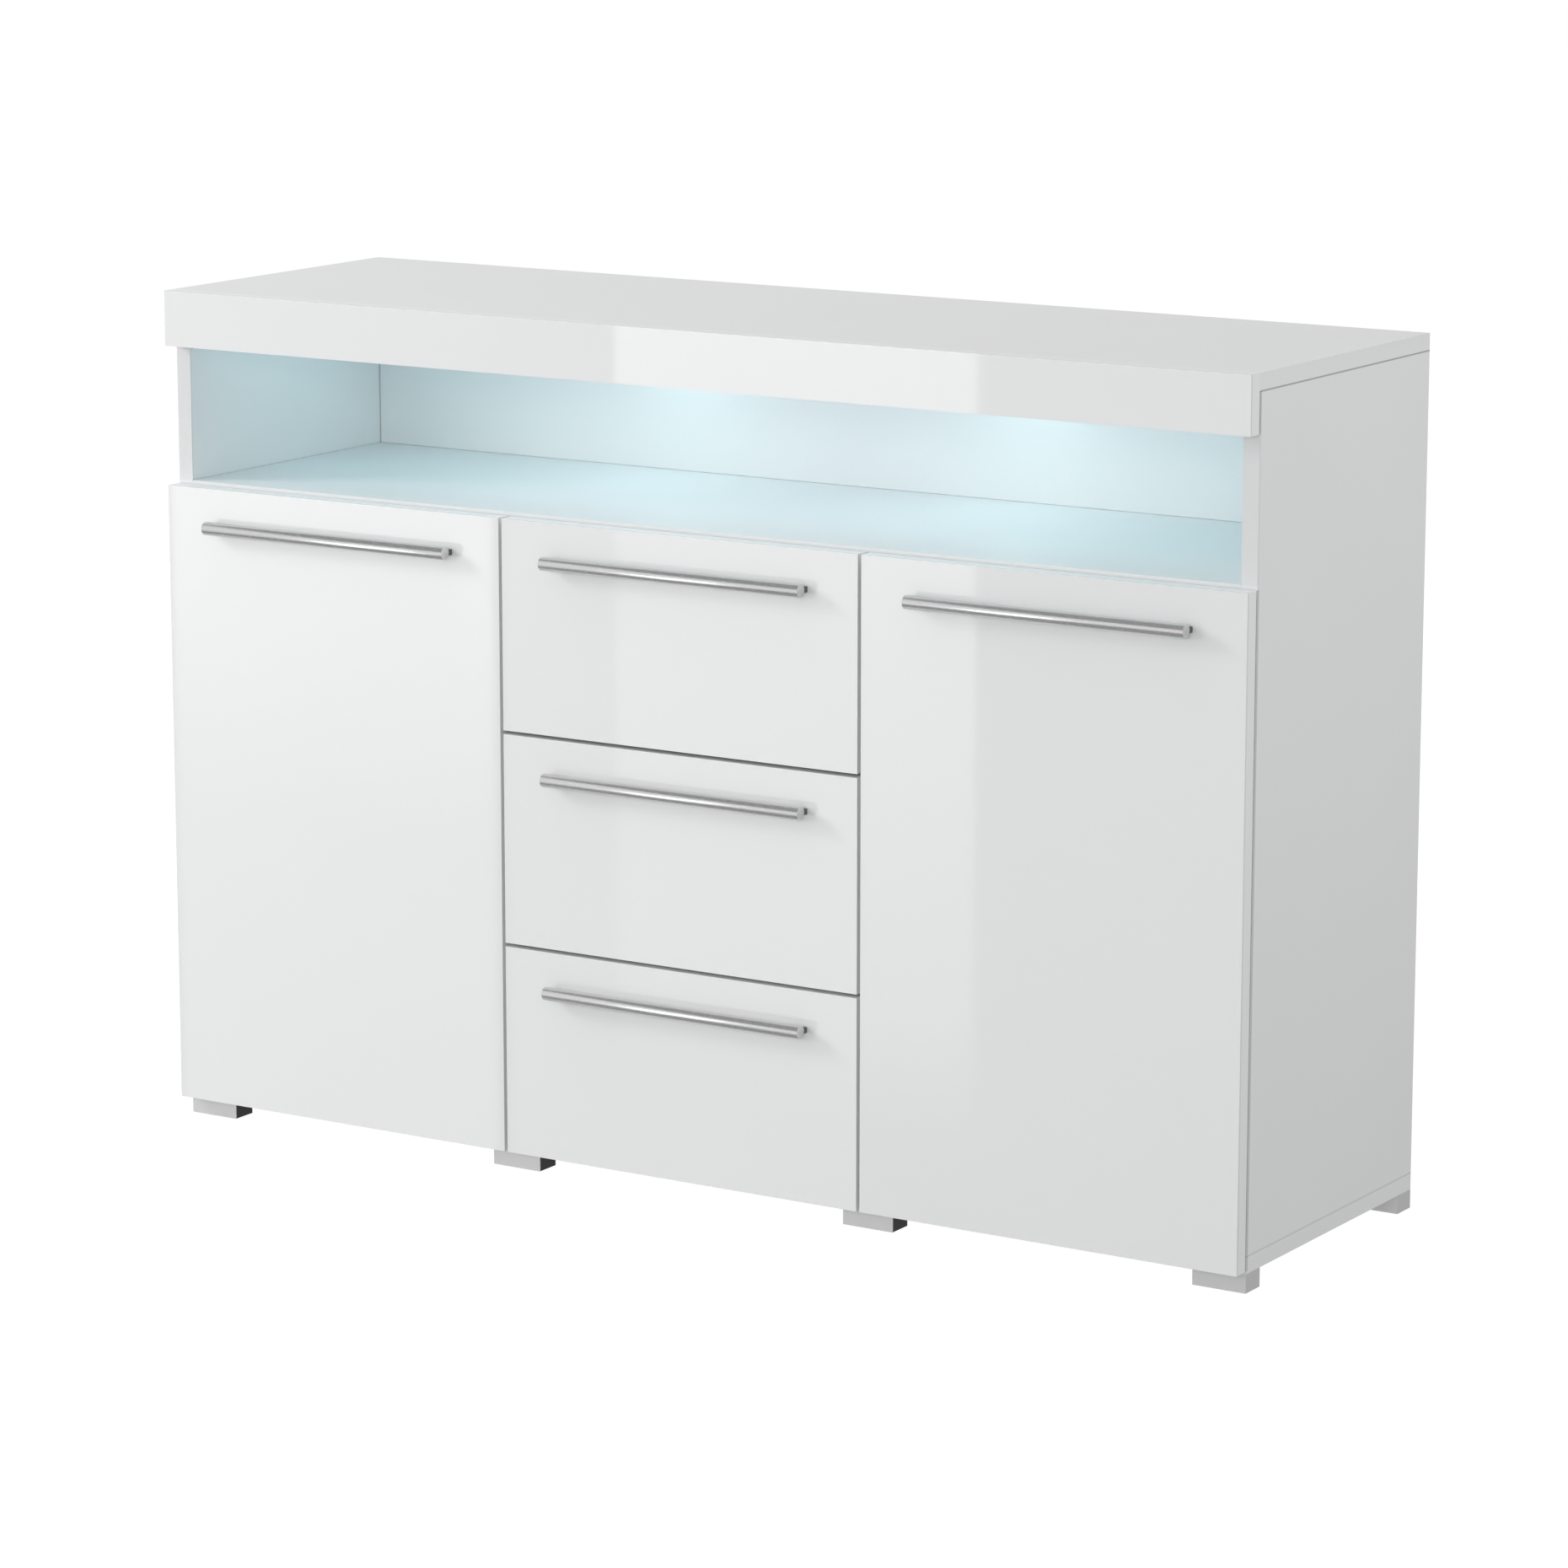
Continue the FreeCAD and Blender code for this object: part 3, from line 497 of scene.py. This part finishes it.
def paint_niche_corner_shade(finish):
    """Paints shade into the niche's corners: along its floor's two ends, and up its back's two ends."""
    low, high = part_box("niche_back_panel")
    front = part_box("right_side_panel")[0].y
    end = finish.band("X", high.x - CORNER_HALF, high.x + CORNER_HALF, True)
    back = finish.band("Y", low.y - CORNER_HALF, low.y + CORNER_HALF)
    floor = finish.band("Z", low.z - CORNER_HALF, low.z + CORNER_HALF)
    inside = finish.band("Y", front, low.y + CORNER_HALF)
    above = finish.band("Z", low.z - CORNER_HALF, high.z)
    # Painted shade in the corners, darker up the back's ends than along the floor's
    finish.darken(finish.times(finish.times(end, floor), inside), 0.14)
    finish.darken(finish.times(finish.times(end, back), above), 0.22)


def satin_laminate():
    """White melamine laminate with a fine pearl grain, painted shade along the carcass's joint lines, gaps
    and niche corners, and the edge band's line beside the niche.
    """
    color = (0.83, 0.835, 0.84)
    finish = Finish("satin_white_laminate", color, 0.4, IOR=1.5)
    finish.tint(finish.noise(6.0, 3.0), *tones(color, 0.006))
    finish.rough(finish.noise(900.0, 2.0), 0.34, 0.5)
    finish.bump(finish.noise(1400.0, 2.0), 0.03 * MM, 0.5)
    # Painted shade along the joints, beside the door and fascia gaps, and in the niche's corners
    paint_joint_shade(finish)
    paint_edging_and_gap_shade(finish)
    paint_niche_corner_shade(finish)
    return finish.material


def thin_board():
    """Thin painted hardboard, with fibres just showing through the paint."""
    color = (0.80, 0.80, 0.79)
    finish = Finish("painted_hardboard", color, 0.6, IOR=1.5)
    fibres = finish.noise(500.0, 4.0, (1.0, 1.0, 0.35))
    finish.tint(fibres, *tones(color, 0.02))
    finish.rough(fibres, 0.52, 0.7)
    finish.bump(fibres, 0.05 * MM, 0.5)
    return finish.material


def drawer_laminate():
    """White paper foil on the drawer boxes, with a faint linen press."""
    color = (0.80, 0.805, 0.805)
    finish = Finish("white_drawer_foil", color, 0.45, IOR=1.5)
    linen = finish.noise(1200.0, 1.0, (1.0, 0.12, 1.0))
    finish.tint(finish.noise(8.0, 3.0), *tones(color, 0.008))
    finish.rough(linen, 0.38, 0.52)
    finish.bump(linen, 0.03 * MM, 0.5)
    return finish.material


def brushed(name, color, roughness, along=(0.02, 1.0, 1.0), per_metre=4000.0, contrast=0.03):
    """Metal with fine drawn lines along one axis."""
    finish = Finish(name, color, roughness, Metallic=1.0)
    lines = finish.noise(per_metre, 2.0, along)
    finish.tint(lines, *tones(color, contrast))
    finish.rough(lines, roughness - 0.05, roughness + 0.07)
    finish.bump(lines, 0.01 * MM, 0.4)
    return finish.material


def zinc():
    """Bright passivated zinc on cast and turned fittings, a little mottled."""
    color = (0.66, 0.67, 0.69)
    finish = Finish("zinc_plate", color, 0.34, Metallic=1.0)
    finish.tint(finish.noise(260.0, 4.0), *tones(color, 0.06))
    finish.rough(finish.noise(700.0, 3.0), 0.26, 0.46)
    finish.bump(finish.noise(1100.0, 2.0), 0.02 * MM, 0.4)
    return finish.material


def moulded(name, color, roughness, **sockets):
    """Moulded or cast surface with a fine spark-eroded grain."""
    finish = Finish(name, color, roughness, **sockets)
    texture = finish.noise(1600.0, 2.0)
    finish.tint(finish.noise(30.0, 2.0), *tones(color, 0.03))
    finish.rough(texture, roughness - 0.06, roughness + 0.08)
    finish.bump(texture, 0.04 * MM, 0.5)
    return finish.material


def silver_trim():
    """Silver-painted plastic, with the fleck of metallic paint."""
    color = (0.68, 0.68, 0.69)
    finish = Finish("silver_paint", color, 0.42, Metallic=0.35)
    fleck = finish.noise(2600.0, 1.0)
    finish.tint(fleck, *tones(color, 0.05))
    finish.rough(fleck, 0.36, 0.5)
    finish.bump(fleck, 0.01 * MM, 0.3)
    return finish.material


def lamp_lens():
    """Frosted lens, lit cool white."""
    color = (0.85, 0.95, 0.97)
    finish = Finish("frosted_lens", color, 0.5, Emission_Strength=2.0)
    finish.shader.inputs["Emission Color"].default_value = (*LAMP_COLOR, 1.0)
    frost = finish.noise(1500.0, 2.0)
    finish.tint(frost, *tones(color, 0.02))
    finish.rough(frost, 0.42, 0.6)
    finish.bump(frost, 0.05 * MM, 0.5)
    return finish.material


def silicone():
    """Clear soft silicone, slightly milky."""
    color = (0.86, 0.88, 0.88)
    finish = Finish("clear_silicone", color, 0.28, IOR=1.41, Transmission_Weight=0.55)
    finish.tint(finish.noise(300.0, 2.0), *tones(color, 0.02))
    finish.rough(finish.noise(900.0, 2.0), 0.22, 0.38)
    finish.bump(finish.noise(1200.0, 1.0), 0.02 * MM, 0.3)
    return finish.material


def beech():
    """Raw beech dowels, with short fine grain along the peg."""
    finish = Finish("beech", (0.68, 0.48, 0.30), 0.6)
    grain = finish.noise(900.0, 4.0, (0.15, 1.0, 1.0))
    finish.tint(grain, (0.60, 0.41, 0.25), (0.74, 0.55, 0.36))
    finish.rough(grain, 0.5, 0.72)
    finish.bump(grain, 0.05 * MM, 0.6)
    return finish.material


def make_finishes():
    """The finish of each material slot in the record."""
    return {
        "gloss_front": gloss_front(),
        "satin_laminate": satin_laminate(),
        "thin_board": thin_board(),
        "drawer_laminate": drawer_laminate(),
        "satin_metal": brushed("satin_aluminium", (0.78, 0.78, 0.78), 0.22),
        "post_metal": moulded("dark_post", (0.16, 0.16, 0.165), 0.4, Metallic=0.6),
        "zinc": zinc(),
        "hinge_steel": brushed("nickel_steel", (0.80, 0.79, 0.77), 0.3, (1.0, 0.1, 1.0), 2400.0, 0.02),
        "slide_steel": brushed("zinc_slide", (0.62, 0.64, 0.67), 0.3, (1.0, 0.05, 1.0), 1800.0),
        "foot_plastic": moulded("black_plastic", (0.042, 0.042, 0.044), 0.5),
        "silver_trim": silver_trim(),
        "lamp_shell": moulded("lamp_plastic", (0.78, 0.78, 0.80), 0.32),
        "lamp_lens": lamp_lens(),
        "lead_sheath": moulded("lead_plastic", (0.82, 0.82, 0.82), 0.5),
        "beech": beech(),
    }


# ---------------------------------------------------------------- CAD nodes

# Rounding of the sharp edges, by slot
EDGE_RADIUS = {
    "gloss_front": 0.6 * MM,
    "satin_laminate": 1.0 * MM,
    "thin_board": 0.2 * MM,
    "drawer_laminate": 0.5 * MM,
    "satin_metal": 0.4 * MM,
    "foot_plastic": 0.5 * MM,
    "slide_steel": 0.25 * MM,
    "lamp_shell": 0.6 * MM,
    "hinge_steel": 0.2 * MM,
}


def soften_edges(node, radius):
    """Rounds a CAD node's sharp edges with modifiers, which leave its mesh as it is."""
    weld = node.modifiers.new("weld", "WELD")
    weld.merge_threshold = WELD
    bevel = node.modifiers.new("round", "BEVEL")
    bevel.width = radius
    bevel.segments = 2
    bevel.limit_method = "ANGLE"
    bevel.angle_limit = math.radians(40)
    bevel.harden_normals = True
    bevel.use_clamp_overlap = True


def finish_cad_nodes():
    """Gives each node the finish of its slot, and rounds its edges."""
    finishes = make_finishes()
    for node in nodes.values():
        slot = node.data.materials[0].name
        node.material_slots[0].material = finishes[slot]
        if slot in EDGE_RADIUS:
            soften_edges(node, EDGE_RADIUS[slot])


# ---------------------------------------------------------------- detail pieces


def make_piece(name, mesh, material, body):
    """One visible piece: its object, finish, material slot and body."""
    for polygon in mesh.polygons:
        polygon.use_smooth = True
    piece = bpy.data.objects.new(name, mesh)
    scene.collection.objects.link(piece)
    mesh.materials.append(material)
    mesh.set_sharp_from_angle(angle=math.radians(35))
    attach(piece, body)
    return piece


def solids_of(node):
    """(lowest corner, highest corner) of each separate solid in a CAD node."""
    shape = bmesh.new()
    shape.from_mesh(node.data)
    bmesh.ops.remove_doubles(shape, verts=shape.verts, dist=WELD)
    left = set(shape.verts)
    found = []
    for start in list(shape.verts):
        if start not in left:
            continue
        left.discard(start)
        group = [start]
        for vert in group:
            for edge in vert.link_edges:
                other = edge.other_vert(vert)
                if other in left:
                    left.discard(other)
                    group.append(other)
        places = [vert.co for vert in group]
        low = Vector([min(place[axis] for place in places) for axis in range(3)])
        high = Vector([max(place[axis] for place in places) for axis in range(3)])
        found.append((low, high))
    shape.free()
    return found


def lathe(shape, profile, place, axis, segments=32):
    """Adds a turned solid to a bmesh. profile lists (radius, height along axis) from pole to pole."""
    turn = Vector((0, 0, 1)).rotation_difference(Vector(axis)).to_matrix()
    rings = []
    for radius, height in profile:
        if radius == 0:
            rings.append([shape.verts.new(turn @ Vector((0, 0, height)) + Vector(place))])
            continue
        ring = []
        for step in range(segments):
            angle = 2 * math.pi * step / segments
            spot = Vector((radius * math.cos(angle), radius * math.sin(angle), height))
            ring.append(shape.verts.new(turn @ spot + Vector(place)))
        rings.append(ring)
    for lower, upper in zip(rings, rings[1:]):
        for step in range(segments):
            after = (step + 1) % segments
            corners = [lower[step % len(lower)], lower[after % len(lower)]]
            corners += [upper[after % len(upper)], upper[step % len(upper)]]
            unique = list(dict.fromkeys(corners))
            shape.faces.new(unique)


def mesh_of(name, shape):
    """The mesh of a finished bmesh, with its faces turned outward."""
    bmesh.ops.recalc_face_normals(shape, faces=shape.faces)
    mesh = bpy.data.meshes.new(name)
    shape.to_mesh(mesh)
    shape.free()
    return mesh


def bumpers(rubber):
    """Soft clear domes inside each door and drawer front, where it meets the carcass."""
    radius = 2.8 * MM
    height = 1.7 * MM
    inset = 3.5 * MM
    rise = 9.0 * MM
    dome = [(0, 0), (radius, 0), (radius, 0.4 * height), (0.85 * radius, 0.75 * height)]
    dome += [(0.5 * radius, 0.95 * height), (0, height)]
    for body, front in FRONTS.items():
        low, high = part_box(front)
        shape = bmesh.new()
        for x in (low.x + inset, high.x - inset):
            if abs(x) > cad_high.x / 2:
                continue
            for z in (low.z + rise, high.z - rise):
                lathe(shape, dome, (x, high.y, z), (0, 1, 0), 24)
        make_piece(body + "_bumpers", mesh_of("bumpers", shape), rubber, body)


def add_block(shape, low, high):
    """Adds a box between two corners to a bmesh."""
    made = bmesh.ops.create_cube(shape, size=1.0)
    size = Vector(high) - Vector(low)
    bmesh.ops.scale(shape, verts=made["verts"], vec=size)
    bmesh.ops.translate(shape, verts=made["verts"], vec=(Vector(low) + Vector(high)) / 2)


def ball_rows(steel, cage_finish):
    """Two rows of balls in their cages on each side of each slide's middle rail."""
    sheet = 1.2 * MM
    pitch = 7.0 * MM
    count = 15
    end_gap = 6.0 * MM
    strip = 0.25 * MM
    outer_inset = 6.5 * MM
    inner_inset = 8.0 * MM
    cage_half = 2.6 * MM
    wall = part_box("outer_rails")[1].x
    top_low, top_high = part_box("top_drawer_middle_rails")
    outer_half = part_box("outer_rails")[1].z - (top_low.z + top_high.z) / 2
    for drawer in DRAWERS:
        low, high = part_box(drawer + "_drawer_middle_rails")
        inner_low, inner_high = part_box(drawer + "_drawer_inner_rails")
        middle = (low.z + high.z) / 2
        half = high.z - middle
        gaps = (
            (half, outer_half - sheet, outer_inset, high.y - end_gap - pitch * count),
            (inner_high.z - middle, half - sheet, inner_inset, low.y + end_gap),
        )
        balls = bmesh.new()
        cages = bmesh.new()
        for gap_low, gap_high, inset, start in gaps:
            offset = (gap_low + gap_high) / 2
            radius = 0.46 * (gap_high - gap_low)
            for side, sign in ((-1, -1), (-1, 1), (1, -1), (1, 1)):
                x = side * (wall - inset)
                z = middle + sign * offset
                for step in range(count):
                    made = bmesh.ops.create_icosphere(balls, subdivisions=2, radius=radius)
                    place = (x, start + pitch * (step + 0.5), z)
                    bmesh.ops.translate(balls, verts=made["verts"], vec=place)
                corner = (x - cage_half, start, z - strip)
                add_block(cages, corner, (x + cage_half, start + pitch * count, z + strip))
        body = drawer + "_slide_middles"
        make_piece(drawer + "_slide_balls", mesh_of("balls", balls), steel, body)
        make_piece(drawer + "_ball_cages", mesh_of("cages", cages), cage_finish, body)


def cross_head(radius):
    """The mesh of a low domed screw head with a cross recess, flat at the origin and domed along +Z."""
    crown = 0.24 * radius
    profile = [(0, 0), (radius, 0), (radius, 0.3 * crown), (0.8 * radius, 0.72 * crown)]
    profile += [(0.45 * radius, 0.95 * crown), (0, crown)]
    shape = bmesh.new()
    lathe(shape, profile, (0, 0, 0), (0, 0, 1))
    head = bpy.data.objects.new("head", mesh_of("head", shape))
    arm = 0.62 * radius
    half = 0.13 * radius
    outline = []
    for turn in range(4):
        for x, y in ((half, half), (arm, half), (arm, -half)):
            for _ in range(turn):
                x, y = y, -x
            outline.append((x, y))
    shape = bmesh.new()
    rims = [[shape.verts.new((x, y, z)) for x, y in outline] for z in (0.3 * crown, 2 * crown)]
    shape.faces.new(rims[0])
    shape.faces.new(rims[1])
    for step in range(len(outline)):
        after = (step + 1) % len(outline)
        shape.faces.new((rims[0][step], rims[0][after], rims[1][after], rims[1][step]))
    cutter = bpy.data.objects.new("cutter", mesh_of("cutter", shape))
    for thing in (head, cutter):
        scene.collection.objects.link(thing)
    cut = head.modifiers.new("cut", "BOOLEAN")
    cut.object = cutter
    cut.solver = "EXACT"
    graph = bpy.context.evaluated_depsgraph_get()
    mesh = bpy.data.meshes.new_from_object(head.evaluated_get(graph))
    for thing in (head, cutter):
        bpy.data.objects.remove(thing)
    return mesh


def screw_heads(plating):
    """Domed heads with a cross recess on the screws that show inside."""
    groups = {}
    for low, high in solids_of(nodes["hinge_screws"]):
        inward = 1 if low.x < 0 else -1
        place = Vector((high.x if inward > 0 else low.x, (low.y + high.y) / 2, (low.z + high.z) / 2))
        groups.setdefault("carcass", []).append((place, (inward, 0, 0), (high.y - low.y) / 2))
    for body, front in FRONTS.items():
        fittings = body + ("_handle_fittings" if body.endswith("door") else "_fittings")
        front_low, front_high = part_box(front)
        for low, high in solids_of(nodes[fittings]):
            if low.y < front_low.y and high.y > front_high.y:
                place = Vector(((low.x + high.x) / 2, high.y, (low.z + high.z) / 2))
                groups.setdefault(body, []).append((place, (0, 1, 0), (high.z - low.z) / 2))
    for body, screws in groups.items():
        shape = bmesh.new()
        for place, axis, radius in screws:
            mesh = cross_head(0.96 * radius)
            turn = Vector((0, 0, 1)).rotation_difference(Vector(axis)).to_matrix().to_4x4()
            mesh.transform(Matrix.Translation(place) @ turn)
            shape.from_mesh(mesh)
            bpy.data.meshes.remove(mesh)
        make_piece(body + "_screw_heads", mesh_of("screw_heads", shape), plating, body)


def lamp_rims(shell):
    """A rounded rim round each lamp's lens."""
    low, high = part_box("lamp_lenses")
    radius = (high.y - low.y) / 2
    width = 1.6 * MM
    drop = 0.8 * MM
    start = radius - 0.3 * MM
    section = [(0.0, 0.0), (0.0, 0.6), (0.25, 0.95), (0.6, 1.0), (0.9, 0.7), (1.0, 0.0)]
    profile = [(start + width * across, drop * down) for across, down in section]
    shape = bmesh.new()
    for side in (-1, 1):
        place = (side * (high.x - radius), (low.y + high.y) / 2, low.z)
        lathe(shape, profile + profile[:1], place, (0, 0, -1), 64)
    bmesh.ops.remove_doubles(shape, verts=shape.verts, dist=WELD)
    make_piece("lamp_rims", mesh_of("lamp_rims", shape), shell, "carcass")


def add_details():
    """Every piece that the CAD model leaves out."""
    bumpers(silicone())
    steel = brushed("ball_steel", (0.70, 0.71, 0.73), 0.14, (1.0, 1.0, 1.0), 900.0)
    plating = zinc()
    ball_rows(steel, brushed("cage_steel", (0.58, 0.59, 0.60), 0.34, (1.0, 0.1, 1.0), 1500.0))
    screw_heads(plating)
    lamp_rims(moulded("rim_plastic", (0.72, 0.73, 0.75), 0.24, Metallic=0.4))


# ---------------------------------------------------------------- lamps


def light_niche():
    """One round light under each lamp lens, and a soft glow from the niche's ceiling."""
    low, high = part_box("lamp_lenses")
    radius = (high.y - low.y) / 2
    reach = high.x - radius
    depth = (low.y + high.y) / 2
    for side in (-1, 1):
        data = bpy.data.lights.new("lamp", "AREA")
        data.shape = "DISK"
        data.size = 2 * radius
        data.energy = LAMP_POWER
        data.color = LAMP_COLOR
        lamp = bpy.data.objects.new("lamp", data)
        scene.collection.objects.link(lamp)
        lamp.visible_camera = False
        aim(lamp, (side * reach, depth, low.z - LAMP_GAP), (side * reach, depth, 0.0))
    for name, width, drop, power, color in GLOWS:
        place = (0.0, 0.0, low.z - drop)
        add_area_light(name, place, (0.0, 0.0, 0.0), width, GLOW_DEPTH, power, color)


scene.view_settings.view_transform = "Standard"
make_camera()
make_world()
make_floor()
make_studio_lights()
finish_cad_nodes()
add_details()
light_niche()
